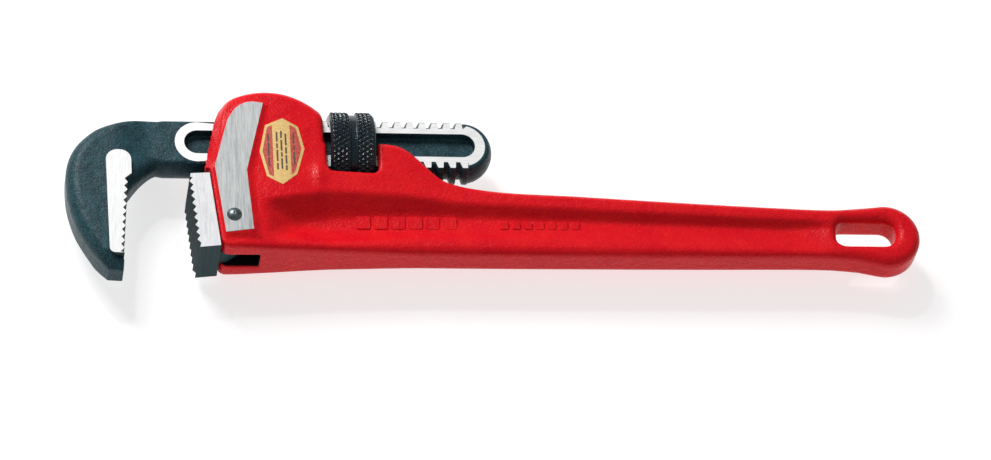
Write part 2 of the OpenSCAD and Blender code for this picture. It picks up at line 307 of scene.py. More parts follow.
def ease(values, low, high):
    """Goes smoothly from 0 to 1 as values go from low to high."""
    t = np.clip((values - low) / (high - low), 0, 1)
    return t * t * (3 - 2 * t)


# ---- materials ----------------------------------------------------------------------------------
class Material:
    """A Principled material and short calls for its nodes."""

    def __init__(self, name, **inputs):
        self.material = bpy.data.materials.new(name)
        self.material.use_nodes = True
        self.tree = self.material.node_tree
        self.shader = self.tree.nodes["Principled BSDF"]
        for key, value in inputs.items():
            self.shader.inputs[key.replace("_", " ")].default_value = value
        self.coords = self.tree.nodes.new("ShaderNodeTexCoord").outputs["Object"]

    def node(self, kind, **settings):
        """New shader node with its settings."""
        n = self.tree.nodes.new("ShaderNode" + kind)
        for key, value in settings.items():
            setattr(n, key, value)
        return n

    def link(self, a, b):
        self.tree.links.new(a, b)

    def stretched(self, scale):
        """Coordinates scaled along each axis."""
        m = self.node("Mapping")
        self.link(self.coords, m.inputs["Vector"])
        m.inputs["Scale"].default_value = scale
        return m.outputs["Vector"]

    def noise(self, scale, detail=3, roughness=0.55, stretch=None):
        """Noise of about that many cells to the metre."""
        n = self.node("TexNoise")
        n.inputs["Scale"].default_value = scale
        n.inputs["Detail"].default_value = detail
        n.inputs["Roughness"].default_value = roughness
        self.link(self.stretched(stretch) if stretch else self.coords, n.inputs["Vector"])
        return n.outputs["Fac"]

    def ramp(self, value, low, high, out_low=0.0, out_high=1.0):
        """Number that goes from out_low to out_high as value goes from low to high."""
        n = self.node("MapRange")
        self.link(value, n.inputs["Value"])
        for key, number in (("From Min", low), ("From Max", high), ("To Min", out_low), ("To Max", out_high)):
            n.inputs[key].default_value = number
        return n.outputs["Result"]

    def mix(self, factor, a, b):
        """Colour between a and b, each a colour or an output."""
        n = self.node("Mix", data_type="RGBA")
        self.link(factor, n.inputs["Factor"])
        for socket, value in ((n.inputs[6], a), (n.inputs[7], b)):
            if isinstance(value, tuple):
                socket.default_value = (*value, 1)
            else:
                self.link(value, socket)
        return n.outputs[2]

    def box(self, low, high, soft=0.15 * MM):
        """1 inside a box, 0 outside it."""
        split = self.node("SeparateXYZ")
        self.link(self.coords, split.inputs[0])
        inside = None
        for axis in range(3):
            for edge, sign in ((low[axis], 1), (high[axis], -1)):
                wall = self.ramp(split.outputs[axis], edge - sign * soft, edge + sign * soft)
                if inside is None:
                    inside = wall
                else:
                    times = self.node("Math", operation="MULTIPLY")
                    self.link(inside, times.inputs[0])
                    self.link(wall, times.inputs[1])
                    inside = times.outputs[0]
        return inside

    def colour(self, output):
        self.link(output, self.shader.inputs["Base Color"])

    def rough(self, output):
        self.link(output, self.shader.inputs["Roughness"])

    def bump(self, *layers):
        """Surface relief from (height output, depth in metres) layers."""
        normal = None
        for height, depth in layers:
            n = self.node("Bump")
            n.inputs["Strength"].default_value = 1
            n.inputs["Distance"].default_value = depth
            self.link(height, n.inputs["Height"])
            if normal:
                self.link(normal, n.inputs["Normal"])
            normal = n.outputs["Normal"]
        self.link(normal, self.shader.inputs["Normal"])


# insides of the handle painted near black as the shade that fills them: slot for the tang, channel for the
# shank
PAINTED_SHADE_INSIDES = (((-80, -60, -4.75), (-39.8, -20, 4.75)), ((-80, -18.4, -7.35), (-11, 13.4, 7.35)))


def red_enamel():
    """Gloss enamel over a cast surface: a little uneven in colour, with dark specks, light orange specks
    painted in as glints, and orange peel; painted shade darkens the slot and channel inside.
    """
    m = Material("red_enamel", Coat_Weight=0.03, Coat_Roughness=0.08, Specular_IOR_Level=0.1)
    tone = m.mix(m.ramp(m.noise(90, 4), 0.3, 0.7), (0.62, 0.004, 0.013), (0.71, 0.009, 0.014))
    speck = m.ramp(m.noise(900, 2), 0.64, 0.74)
    coat = m.mix(speck, tone, (0.45, 0.002, 0.007))
    # painted highlight: light orange specks stand in for glints in the grain
    coat = m.mix(m.ramp(m.noise(1300, 2), 0.62, 0.76, 0, 0.6), coat, (0.85, 0.06, 0.025))
    # painted shade: the slot for the tang and the channel for the shank turn near black
    for low, high in PAINTED_SHADE_INSIDES:
        corners = [tuple((np.array(c) * MM + np.array(ORIGIN)).tolist()) for c in (low, high)]
        coat = m.mix(m.box(*corners), coat, (0.012, 0.008, 0.009))
    m.colour(coat)
    m.rough(m.ramp(m.noise(500, 3), 0.3, 0.7, 0.22, 0.34))
    m.bump((m.noise(1100, 2, 0.6), 0.0002), (m.noise(330, 2), 0.0003))
    return m.material


def black_forging(name="black_forging", tone=(0.009, 0.031, 0.04), light=(0.06, 0.13, 0.15), gloss=0.14,
                  roughness=(0.28, 0.45)):
    """Scale-black forging with fine speckle."""
    m = Material(name, Specular_IOR_Level=gloss)
    speck = m.ramp(m.noise(1700, 2, 0.7), 0.5, 0.72)
    cloud = m.ramp(m.noise(160, 4), 0.35, 0.7)
    m.colour(m.mix(speck, m.mix(cloud, tone, tuple(1.8 * c for c in tone)), light))
    m.rough(m.ramp(m.noise(700, 3), 0.3, 0.7, *roughness))
    m.bump((m.noise(1500, 2, 0.6), 0.00016), (m.noise(180, 3), 0.0004))
    return m.material


def ground_steel(name, grain, dark, light, roughness=(0.3, 0.45), metallic=0.9, gloss=0.5):
    """Ground steel. grain stretches the noise across the grinding lines."""
    m = Material(name, Metallic=metallic, Specular_IOR_Level=gloss)
    lines = m.noise(2600, 3, 0.7, grain)
    streaks = m.noise(500, 3, 0.6, grain)
    m.colour(m.mix(m.ramp(streaks, 0.3, 0.9), m.mix(m.ramp(lines, 0.38, 0.62), dark, light), light))
    m.rough(m.ramp(lines, 0.3, 0.7, *roughness))
    m.bump((lines, 0.00004))
    return m.material


def pin_steel():
    """Dull dark steel of the pin."""
    m = Material("pin_steel", Metallic=1)
    m.colour(m.mix(m.ramp(m.noise(900, 3), 0.35, 0.65), (0.1, 0.13, 0.14), (0.22, 0.25, 0.26)))
    m.rough(m.ramp(m.noise(600, 2), 0.3, 0.7, 0.28, 0.4))
    m.bump((m.noise(1200, 2), 0.00003))
    return m.material


def spring_steel():
    """Drawn steel of the springs."""
    m = Material("spring_steel", Metallic=1)
    m.colour(m.mix(m.ramp(m.noise(700, 3), 0.35, 0.65), (0.25, 0.25, 0.26), (0.4, 0.4, 0.41)))
    m.rough(m.ramp(m.noise(900, 2), 0.3, 0.7, 0.25, 0.4))
    m.bump((m.noise(1500, 2), 0.00002))
    return m.material


def printed(name, tone, light, metallic=0.0):
    """Print on foil, with a fine mottle."""
    m = Material(name, Metallic=metallic, Specular_IOR_Level=0.4)
    m.colour(m.mix(m.ramp(m.noise(1400, 3, 0.7), 0.35, 0.7), tone, light))
    m.rough(m.ramp(m.noise(800, 2), 0.3, 0.7, 0.35, 0.5))
    m.bump((m.noise(1600, 2), 0.00002))
    return m.material


def floor_paper():
    """White paper, lit up a little so that shadows on it stay soft."""
    m = Material("floor_paper", Specular_IOR_Level=0.1, Emission_Color=(1, 1, 1, 1), Emission_Strength=0.68)
    m.colour(m.mix(m.noise(40, 2), (0.46, 0.46, 0.46), (0.48, 0.48, 0.48)))
    m.rough(m.ramp(m.noise(60, 2), 0.3, 0.7, 0.8, 0.9))
    return m.material


RED = red_enamel()
BLACK = black_forging()
NUT_BLACK = black_forging("nut_black", (0.001, 0.006, 0.009), (0.01, 0.036, 0.05), 0.4, (0.14, 0.26))
PAD_STEEL = ground_steel("pad_steel", (1, 0.04, 1), (0.22, 0.24, 0.24), (0.5, 0.51, 0.51), (0.4, 0.55), 0.3)
RIM_STEEL = ground_steel("rim_steel", (0.06, 1, 1), (0.74, 0.74, 0.74), (0.84, 0.84, 0.84), (0.35, 0.5), 0.4)
JAW_STEEL = ground_steel("jaw_steel", (1, 0.06, 1), (0.5, 0.51, 0.52), (0.7, 0.7, 0.71), (0.4, 0.55), 0.3)
BAND_STEEL = ground_steel("band_steel", (1, 0.06, 1), (0.6, 0.61, 0.61), (0.74, 0.74, 0.74), (0.4, 0.55), 0.3)
TOOTH_STEEL = ground_steel("tooth_steel", (1, 1, 0.06), (0.005, 0.018, 0.023), (0.03, 0.06, 0.068),
                           (0.45, 0.6), 0, 0.12)
PIN_STEEL = pin_steel()
SPRING_STEEL = spring_steel()


# ---- handle -------------------------------------------------------------------------------------
HOUSING_HALF = 12.7         # half thickness of the housing
PAD_TOP = 14.2              # height of the machined pads
WEB_HALF = 3.5              # half thickness of the web between the flanges
CHANNEL_HALF = 7.2          # half width of the channel for the shank
CHANNEL_FLOOR = -18
CHANNEL_ROOF = 13.1
WINDOW = (-11.6, 9.5)       # ends of the space that the nut turns in
SADDLE_R = 18               # radius of that space
CROWN = ((-35.5, -10), 32.3)    # centre and radius of the round top of the housing
NOSE = ((-62.3, -15.2), (-55.4, 18.6))          # ends of the slanted band in front
HEEL_BACK = ((-59.9, -16.4), (-55.9, -52.2))    # face that the heel jaw stands against
TAIL = ((220, -39.4), 14.4)     # centre and radius of the round end
SWELL_AT = (-15, -17)       # swelling on the housing: centre, height and reach along X and Y
SWELL_H = 1.1
SWELL_REACH = (2.7, 5.5)
TANG_HALF = 4.6             # slot for the tang of the heel jaw: half width, end and top
TANG_END = -40
TANG_TOP = -20
COIL_X = -26                # pocket for the coil spring: middle, radius and bottom
POCKET_R = 4.1
POCKET_FLOOR = -26.6

lower_outline = (
    [(-80, -52.3), (-52, -52.2), (-12, -51.5), (57, -51.4), (120, -51.1)]
    + curve([(183, -50.4), (198, -50.6), (209, -51.7)])
    + arc(*TAIL, -103, 103, 24)
    + curve([(209, -26.3), (198, -27.3), (183, -27), (150, -25.6), (120, -24.1), (90, -22.5), (65, -21.5),
             (52, -20.2), (44.5, -18.9), (39, -17.1), (33.4, -13.3), (27.2, -7.4), (22.2, -3), (17.5, -0.9),
             (13, -0.4)])
    + [(WINDOW[1] - 1, -0.3), (-30, -0.3), (-80, -10)]
)
front_edge = curve([(-44, 60), (-54.2, 19.5), (-56, 15), (-57.8, 10.2), (-59.6, 5.4), (-61.5, -4),
                    (-62.2, -11), NOSE[0]])
front_outline = front_edge + [HEEL_BACK[0], HEEL_BACK[1], (-55, -60), (300, -60), (300, 60)]
pad_outline = (
    [(-54.4, -46.4), (-43.1, -44.8), (-45, -17.2), (-37.3, 14.6)]
    + curve([(-41.3, 15.2), (-44.9, 14.6), (-48.5, 12.2), (-50.6, 9.3), (-52.2, 6.4)])
    + [(-58, -15.5)]
)
pad_foot = (
    [(-54.9, -48.8), (-40.9, -47), (-42.8, -17.2), (-35.4, 14.9)]
    + curve([(-41.3, 15.8), (-45.2, 15.1), (-48.9, 12.6), (-51, 9.6), (-52.6, 6.5)])
    + [(-58.5, -15.5)]
)
hole_outline = rounded([(199, -33.2, 3.8), (199, -44.4, 3.8), (224, -44.4, 5.4), (224, -33.2, 5.4)])
# rows of raised blocks: where they start, how many, their height on the web, length, width, top
MARK_ROWS = ((0, 6, -35.7, 5.6, 6, 4.5), (59, 7, -36.4, 3.4, 3.8, 4.9))


def handle_half(x, y):
    """Half thickness of the handle, with a swelling where the housing runs into the upper flange."""
    upper = profile(x, [-28, -12, 12, 40, 236], [HOUSING_HALF, 11.3, 10.4, 8, 7.6])
    lower = profile(x, [-50, -12, 20, 236], [HOUSING_HALF, 9.5, 7.9, 7.6])
    dx, dy = (x - SWELL_AT[0]) / SWELL_REACH[0], (y - SWELL_AT[1]) / SWELL_REACH[1]
    swell = SWELL_H * np.exp(-dx ** 2 - dy ** 2)
    return lower + (upper - lower) * ease(y, -47, -28) + swell


def web_surface(g):
    """Height of the hollow between the flanges: a floor, a steep wall above it and a gentle one below."""
    floor = np.full((g.x.size, g.y.size, 1), WEB_HALF, np.float32)
    top = profile(g.x, [-40, -24, -11, 26, 100, 184, 205], [-38, -35.5, -33, -31.4, -34, -36.6, -37.6])
    rise = profile(g.x, [-31, -11, 26, 100, 184], [1.2, 0.95, 1.1, 1.15, 1.3])
    bottom = profile(g.x, [-40, -11, 26, 100, 184, 205], [-36, -40.7, -38.5, -36.5, -38.5, -39])
    fall = profile(g.x, [-11, 26, 100, 184], [0.75, 0.62, 0.47, 0.39])
    surface = higher(floor, floor + (g.y - top) * rise, 1.5)
    surface = higher(surface, floor + (bottom - g.y) * fall, 3)
    surface = higher(surface, floor - (g.x + 25) * 0.7, 3)
    return higher(surface, floor + (g.x - 186) * 0.3, 4)


def crown_circle(g):
    """Distance to the round top of the housing, seen from the side."""
    return np.hypot(g.x - CROWN[0][0], g.y - CROWN[0][1]) - CROWN[1]


def handle_body(g):
    """Housing and grip with soft cast edges, and a crisp face in front."""
    crown = both(crown_circle(g), g.x - WINDOW[0], 2.6)
    flat = np.minimum(crown, g.flat(lower_outline))
    edge = profile(g.x, [-50, -12, 30, 200, 214], [2.2, 3, 3.6, 3.8, 4.4])
    edge = edge + (4.2 - edge) * ease(g.y, -8, 8)
    body = both(flat, g.az - handle_half(g.x, g.y), edge)
    return both(body, both(g.flat(front_outline), flat, 4), 0.7)


def front_band(g):
    """What lies behind the slanted band along the front edge, above the heel jaw."""
    along = np.array(NOSE[1]) - np.array(NOSE[0])
    along = along / np.linalg.norm(along)
    nose = (NOSE[0][0] - g.x) * along[1] - (NOSE[0][1] - g.y) * along[0]
    inward = -both(nose, crown_circle(g), 5)
    run = 4
    start = CHANNEL_HALF + 0.4
    drop = HOUSING_HALF - start
    band = ((g.az - start) * run - inward * drop) / np.hypot(run, drop)
    # the band fades out towards the crown and ends above the heel jaw
    return band - 5 * ease(g.x, -58, -36) - 60 * (1 - ease(g.y, -17.5, -15)) - 600 * ease(g.x, -30, -12)


def raised_pad(g):
    """Pads on both sides, with sloping sides."""
    share = np.clip((PAD_TOP - g.az) / (PAD_TOP - HOUSING_HALF), 0, 1.4)
    pad = g.flat(pad_outline) * (1 - share) + g.flat(pad_foot) * share
    pad = both(pad, g.az - PAD_TOP + 0.12, 0.2)
    return np.maximum(pad, 5 - g.az)


def shank_channel(g):
    """A tunnel through the housing that is open above behind the nut."""
    walls = g.az - CHANNEL_HALF
    tunnel = both(both(walls, g.span(g.y, CHANNEL_FLOOR, CHANNEL_ROOF), 1), g.span(g.x, -80, 0), 0.5)
    open_part = both(both(walls, CHANNEL_FLOOR - g.y, 1), g.span(g.x, -2, 60), 0.5)
    return np.minimum(tunnel, open_part)


def handle_field(g):
    """The casting: its body and pads, less what is cut out for the moving pieces and the hanging hole."""
    solid = both(handle_body(g), front_band(g), 0.6)
    solid = both(solid, (g.az - web_surface(g)) * 0.75, 1)
    solid = either(solid, raised_pad(g), 0.5)
    solid = less(solid, shank_channel(g), 0.8)
    middle, reach = (WINDOW[0] + WINDOW[1]) / 2, (WINDOW[1] - WINDOW[0]) / 2
    saddle = both(np.hypot(g.y, g.z) - SADDLE_R, np.abs(g.x - middle) - reach, 2.6)
    solid = less(solid, saddle, 1.8)
    slot = both(g.az - TANG_HALF, g.span(g.x, -80, TANG_END), 0.4)
    solid = less(solid, both(slot, g.y - TANG_TOP, 0.4), 0.5)
    pocket = both(np.hypot(g.x - COIL_X, g.z) - POCKET_R, g.span(g.y, POCKET_FLOOR, CHANNEL_FLOOR + 1), 0.3)
    solid = less(solid, pocket, 0.4)
    return less(solid, g.flat(hole_outline) + 0 * g.z, 3.6)


def build_handle():
    """The casting, and on each side its machined pad face and raised marks."""
    g = Grid((-64.5, -55, -15.6), (236, 24, 15.6), 0.6)
    handle = g.mesh("handle_casting", handle_field(g), RED)
    finish_piece(handle, "handle", "red_enamel", "handle")
    for side, name in ((1, "front"), (-1, "back")):
        plate = Shell()
        low, high = sorted((side * (PAD_TOP - 0.4), side * PAD_TOP))
        plate.prism(pad_outline, low, high, 0.06)
        finish_piece(plate.build("pad_face_" + name, [PAD_STEEL]), "handle", "bright_steel")
        build_marks(side, name)


def raised_block(shell, x, y, length, width, side, top):
    """Small plain block with sloping sides, which starts inside the web and ends above it."""
    rings = []
    for z, grow in ((WEB_HALF - 0.9, 0.4), (top - 0.3, 0.1), (top, -0.2)):
        a, b = length / 2 + grow, width / 2 + grow
        ring = rounded([(-a, -b, 0.3 * b), (a, -b, 0.3 * b), (a, b, 0.3 * b), (-a, b, 0.3 * b)])
        rings.append([(x + px, y + py, z) for px, py in ring])
    if side < 0:
        rings = [[(px, py, -z) for px, py, z in ring[::-1]] for ring in rings]
    shell.rings(rings)


def build_marks(side, name):
    """Rows of plain raised blocks cast into the web, where a maker would put lettering."""
    shell = Shell()
    for start, count, y, length, width, top in MARK_ROWS:
        for k in range(count):
            x = start + length / 2 + k * (length + 1.5)
            raised_block(shell, x, y, length, width, side, top)
    finish_piece(shell.build("web_marks_" + name, [RED], 30), "handle", "red_enamel")


# ---- hook jaw -----------------------------------------------------------------------------------
SHANK_HALF = 6.7            # half thickness of the flat-sided shank
PITCH = 5.08
CREST_R = 12.7
ROOT_R = 10.6
PLAIN_R = 11.7              # radius of the shank where it has no thread
HOOK_HALF = 9.4             # half thickness of the hook round its jaw
BAND_HALF = 10              # half thickness of the toothed block
RECESS_R = 5.3              # long recess in each side of the shank: radius, ends and depth
RECESS_X = (-64, 45)
RECESS_DEPTH = 4
RIM_R = (9.3, 9.7)          # radius of the ground rim at the two ends of the recess
RIM_END = 44.9
DOME_AT = 45.6              # centre and radius of the domed end
DOME_R = 12.4
THREADS = 19
FIRST_THREAD = -47.9
CREST = (-0.8, 1.4)         # ends of a crest, from the middle of its root
ROOT_HALF = 1.7
TOOTH_H = 1.3               # depth of the teeth on both jaws
HOOK_TOOTH_LINE = ((-96.6, -53.6), (-94.3, -19.6))
HOOK_TEETH = 10

hook_outer = curve([
    (-74, 9.4), (-82, 9.8), (-90, 9.8), (-98.8, 8.2), (-105.4, 5.6), (-111.6, 0.2), (-115.4, -5.4),
    (-117.5, -12), (-117.95, -19), (-117.3, -28), (-114.6, -38.2), (-111, -45.8), (-106.4, -53.2),
    (-101.4, -59)
])
throat = curve([(-93.4, -24), (-92.2, -22.5), (-89.8, -19.3), (-86, -15.1), (-80.8, -11.2), (-75.5, -9.7)])
hook_outline = (
    hook_outer
    + [(-95.3, -59.4), (-94.9, -54.4), (-97, -53.4), (-94.8, -19.6)]
    + throat
    + [(-60, -9.4), (-60, 9.4)]
)
band_outline = rounded(
    [(-101.2, -54.2, 2.5), (-95.2, -54.2, 0)]
    + [(x, y, 0) for x, y in teeth(*HOOK_TOOTH_LINE, HOOK_TEETH, TOOTH_H)]
    + [(-91.4, -17.2, 0), (-91.4, -5.9, 4.8), (-102, -5.9, 4.8)]
)


def shank_body(g):
    """Flat-sided shank under its threads, with a domed end."""
    shank_r = profile(g.x, [-94, -78, -49, -47], [9, PLAIN_R, PLAIN_R, ROOT_R], 0.5)
    body = both(np.hypot(g.y, g.z) - shank_r, g.span(g.x, -90, DOME_AT + 1), 0.3)
    dome = both(np.hypot(np.hypot(g.x - DOME_AT, g.y), g.z) - DOME_R, DOME_AT - g.x, 0.3)
    return both(np.minimum(body, dome), g.az - SHANK_HALF, 0.8)


def hook_body(g):
    """The hook: full thickness round the jaw, thin at its tip and where it meets the shank."""
    neck = profile(g.x, [-96, -86], [HOOK_HALF, SHANK_HALF], 3)
    tip = profile(g.y, [-60.5, -58.5, -52.5], [5, 5.6, HOOK_HALF], 1)
    # its outer edge is well rounded, and the edge of the neck and the tip is not
    upper = ease(g.y, -4, 4)
    away = ease(-g.x, 71, 84) * (1 - upper) + ease(-g.x, 84, 104) * upper
    edge = 1.2 + 4.2 * away * ease(g.y, -60, -50)
    return both(g.flat(hook_outline), g.az - np.minimum(neck, tip), edge)


def hook_field(g):
    """The forging: shank and hook, with the long recess in each side of the shank."""
    solid = np.minimum(shank_body(g), hook_body(g))
    reach, middle = (RECESS_X[1] - RECESS_X[0]) / 2, sum(RECESS_X) / 2
    stadium = np.hypot(np.maximum(np.abs(g.x - middle) - reach, 0), g.y) - RECESS_R
    floor = SHANK_HALF - RECESS_DEPTH
    return less(solid, both(stadium, floor - g.az, 0.6), 0.3)


def thread_place(angle):
    """How far a thread has moved along the shank at that angle round it, in radians."""
    return PITCH * angle / (2 * math.pi)


def thread_section():
    """Section of one thread as (place along the shank, radius)."""
    low, high = CREST
    return [(-ROOT_HALF, ROOT_R - 0.5), (-ROOT_HALF, ROOT_R - 0.1), (low - 0.12, CREST_R - 0.3),
            (low + 0.1, CREST_R), (high - 0.25, CREST_R), (high, CREST_R - 0.25),
            (ROOT_HALF, ROOT_R - 0.1), (ROOT_HALF, ROOT_R - 0.5)]


def build_threads():
    """The threads on the two edges of the flat shank."""
    shell = Shell()
    steps = 14
    for edge in (0, math.pi):
        for k in range(THREADS):
            rings = []
            for i in range(steps + 1):
                ring = []
                for dx, r in thread_section():
                    turn = math.asin(SHANK_HALF / r) * (2 * i / steps - 1)
                    x = FIRST_THREAD + k * PITCH + thread_place(edge + turn) + dx
                    ring.append((x, r * math.cos(edge + turn), r * math.sin(edge + turn)))
                rings.append(ring)
            shell.rings(rings)
    finish_piece(shell.build("shank_threads", [BLACK], 30), "hook_jaw", "black_forging")


def rim_edge(side, edge):
    """Edge of the ground rim along the threads: side is 1 or -1 for the flat of the shank that it lies
    on, and edge is 0 or 1 for its upper or lower threads."""
    points = []
    for k in range(THREADS):
        for dx, r in thread_section()[1:-1]:
            r -= 0.12
            turn = math.asin(SHANK_HALF / r)
            if edge:
                turn = math.pi - turn
            x = FIRST_THREAD + k * PITCH + thread_place(side * turn) + dx
            if edge and side < 0:
                x += PITCH
            points.append((x, r * math.cos(turn)))
    return points


def build_rim(side, name):
    """Ground rim round the long recess, on one side of the shank."""
    top = rim_edge(side, 0)
    bottom = rim_edge(side, 1)
    front, back = arc((RECESS_X[0], 0), RIM_R[0], 90, 270), arc((RIM_END, 0), RIM_R[1], -75, 75)
    hole = arc((RECESS_X[0], 0), RECESS_R + 0.15, 90, 270) + arc((RECESS_X[1], 0), RECESS_R + 0.15, -90, 90)
    shell = Shell()
    low, high = sorted((side * (SHANK_HALF - 0.15), side * (SHANK_HALF + 0.06)))
    shell.prism(front + bottom + back + top[::-1], low, high, 0.05, [hole])
    finish_piece(shell.build("shank_rim_" + name, [RIM_STEEL], 30), "hook_jaw", "bright_steel")


def build_hook():
    """The forging with its toothed block, threads and ground rims."""
    g = Grid((-119.5, -61, -10.6), (59.3, 14, 10.6), 0.42)
    hook = g.mesh("hook_forging", hook_field(g), BLACK)
    finish_piece(hook, "hook_jaw", "black_forging", "hook_jaw")
    shell = Shell()
    shell.prism(band_outline, -BAND_HALF, BAND_HALF, 0.12, cap_kind=0, side_kind=1)
    finish_piece(shell.build("hook_teeth", [BAND_STEEL, TOOTH_STEEL]), "hook_jaw", "bright_steel")
    build_threads()
    for side, name in ((1, "front"), (-1, "back")):
        build_rim(side, name)


# ---- adjusting nut ------------------------------------------------------------------------------
KNURL_COUNT = 48            # diamonds round the nut
KNURL_LENGTH = 3.4          # length of a diamond along the nut
KNURL_DEPTH = 0.75
THREAD_PLAY = 0.35          # between the threads of nut and shank


def nut_radius(x):
    """Radius of the nut over the knurl, and how deep the knurl is there."""
    at = [-10, -9.7, -9, -2.4, -1.6, 0.8, 1.4, 6.7, 7.9, 8.4]
    r = [14.7, 15.1, NUT_R, NUT_R, 15.3, 15.3, NUT_R, NUT_R, 15.4, 14.9]
    depth = np.interp(x, [-9.6, -9, -2.4, -1.9, 1.1, 1.5, 7.4, 8], [0, 1, 1, 0, 0, 1, 0.8, 0])
    return np.interp(x, at, r), depth * KNURL_DEPTH


def saw(value):
    """Zigzag between 0 and 1, once for each whole number."""
    return 1 - np.abs(2 * (value - np.floor(value)) - 1)


def nut_bore(x, angle):
    """Radius of the threaded bore."""
    place = (x - FIRST_THREAD - thread_place(angle)) / PITCH
    off = np.abs((place - np.floor(place)) - 0.5) * PITCH
    return np.interp(off, [0.6, 1.1], [ROOT_R + THREAD_PLAY, CREST_R + THREAD_PLAY])


def build_nut():
    """Knurled outside and threaded bore as one closed surface, ring by ring along the nut."""
    around = KNURL_COUNT * 8            # eight points to a diamond
    angle = np.arange(around) * 2 * np.pi / around
    places = np.concatenate([NUT_X[:1], np.arange(NUT_X[0] + 0.3, NUT_X[1] - 0.2, 0.28), NUT_X[1:]])
    rings = []
    for x in places:
        r, depth = nut_radius(x)
        turn = KNURL_COUNT * angle / (2 * np.pi)
        diamond = np.minimum(saw(turn + x / KNURL_LENGTH), saw(turn - x / KNURL_LENGTH))
        rings.append((x, r - depth * (1 - np.minimum(1, 1.25 * diamond))))
    for x in np.linspace(NUT_X[1], NUT_X[0], 60):
        rings.append((x, nut_bore(x, angle)))
    points = np.concatenate([
        np.stack([np.full(around, x), r * np.cos(angle), r * np.sin(angle)], 1) for x, r in rings])
    n = len(rings)
    i = np.arange(around)
    j = (i + 1) % around
    faces = np.concatenate([np.stack([k * around + i, k * around + j, (k + 1) % n * around + j,
                                      (k + 1) % n * around + i], 1) for k in range(n)])
    nut = make_object("adjusting_nut_knurled", points, faces[:, ::-1], [NUT_BLACK], None, 50)
    finish_piece(nut, "nut", "black_nut", "adjusting_nut")


# ---- heel jaw and its pin -----------------------------------------------------------------------
HEEL_TOOTH_LINE = ((-67.35, -20.4), (-64.65, -50.8))
HEEL_TEETH = 9
PIN_AT = (-50.8, -38.2)     # middle and radius of the pin
PIN_R = 3.05
DOME_H = 1.5                # height of the pin's head above the pad
PUNCH_R = 0.7               # radius of the punch mark in it


def build_heel_jaw():
    """Toothed block and the tang that goes into the slot of the handle."""
    outline = ([(-60, -17.8), (-68, -18.3), (-68.2, -20.4)]
               + teeth(*HEEL_TOOTH_LINE, HEEL_TEETH, TOOTH_H) + [(-65.2, -52.9), (-56.3, -51.9)])
    shell = Shell()
    shell.prism(outline, -HOUSING_HALF, HOUSING_HALF, 0.15, cap_kind=0, side_kind=1)
    tang = [(-62, -21), (-61, -51), (-53, -50), (-45, -45), (-42, -41), (-42, -24.5), (-45.5, -21)]
    shell.prism(tang, -4.5, 4.5, 0.3, cap_kind=1, side_kind=1)
    finish_piece(shell.build("heel_jaw_block", [JAW_STEEL, TOOTH_STEEL]), "handle", "heel_steel", "heel_jaw")


def build_pin():
    """Pin with a domed head and a punch mark, set flush at the back."""
    dome_r = (PIN_R ** 2 + DOME_H ** 2) / (2 * DOME_H)
    # (radius, height) from the bottom of the punch mark over the dome and down to the back end
    section = [(0, PAD_TOP + 1.02), (0.28, PAD_TOP + 1.06), (0.5, PAD_TOP + 1.42)]
    for r in np.linspace(PUNCH_R, PIN_R - 0.05, 9):
        section.append((r, PAD_TOP + DOME_H - dome_r + math.sqrt(dome_r ** 2 - r ** 2)))
    section += [(PIN_R, PAD_TOP), (PIN_R, -PAD_TOP + 0.2), (PIN_R - 0.3, -PAD_TOP - 0.15),
                (0, -PAD_TOP - 0.3)]
    around = 48
    points = []
    for r, z in section[1:-1]:
        for i in range(around):
            a = 2 * math.pi * i / around
            points.append((PIN_AT[0] + r * math.cos(a), PIN_AT[1] + r * math.sin(a), z))
    rows = len(section) - 2
    faces = [face[::-1] for face in skin(rows, around)]
    top, bottom = len(points), len(points) + 1
    points += [(*PIN_AT, section[0][1]), (*PIN_AT, section[-1][1])]
    last = (rows - 1) * around
    for i in range(around):
        j = (i + 1) % around
        faces.append([top, i, j])
        faces.append([bottom, last + j, last + i])
    pin = make_object("heel_jaw_pin_domed", points, faces, [PIN_STEEL], None, 50)
    finish_piece(pin, "handle", "spring_steel", "heel_jaw_pin")


# ---- springs ------------------------------------------------------------------------------------
WIRE_R = 0.65
COIL_TURNS = 5


def build_coil_spring():
    """Helix in the box of the CAD spring."""
    low, high = (np.array(c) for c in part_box("coil_spring"))
    wire = WIRE_R * MM
    ring_r = (high[0] - low[0]) / 2 - wire
    centre = (low + high) / 2
    steps, sides = 32, 12
    n = COIL_TURNS * steps
    points = []
    for i in range(n + 1):
        a = 2 * math.pi * i / steps
        y = low[1] + wire + (high[1] - low[1] - 2 * wire) * i / n
        for k in range(sides):
            b = 2 * math.pi * k / sides
            r = ring_r + wire * math.cos(b)
            world = (centre[0] + r * math.cos(a), y + wire * math.sin(b), centre[2] + r * math.sin(a))
            points.append(tuple((np.array(world) - np.array(ORIGIN)) / MM))
    faces = skin(n + 1, sides)
    faces.append(list(range(sides))[::-1])
    faces.append([sides * n + k for k in range(sides)])
    spring = make_object("coil_spring_wire", points, faces, [SPRING_STEEL])
    finish_piece(spring, "handle", "spring_steel", "coil_spring")
    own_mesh(spring)


def dress_flat_spring():
    """The flat spring keeps its CAD shape and gets its material."""
    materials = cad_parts["flat_spring"].data.materials
    materials.clear()
    materials.append(SPRING_STEEL)


# ---- label --------------------------------------------------------------------------------------
FOIL_T = 0.08               # thickness of the foil
label_outline = [(-29.5, 8.2), (-23.2, 4.5), (-20.9, -5.9), (-24.3, -17.9), (-30.4, -23),
                 (-36.8, -19.4), (-39.4, -7.7), (-36.7, 4.8)]
panel_outlines = {
    "left": [(-38.2, -7.7), (-36, 3.6), (-33.9, 4.9), (-33.9, -19.6), (-35.8, -18.5)],
    "right": [(-26.7, 5.2), (-24.1, 3.7), (-22.1, -5.9), (-25.2, -17.2), (-26.7, -18.4)],
}
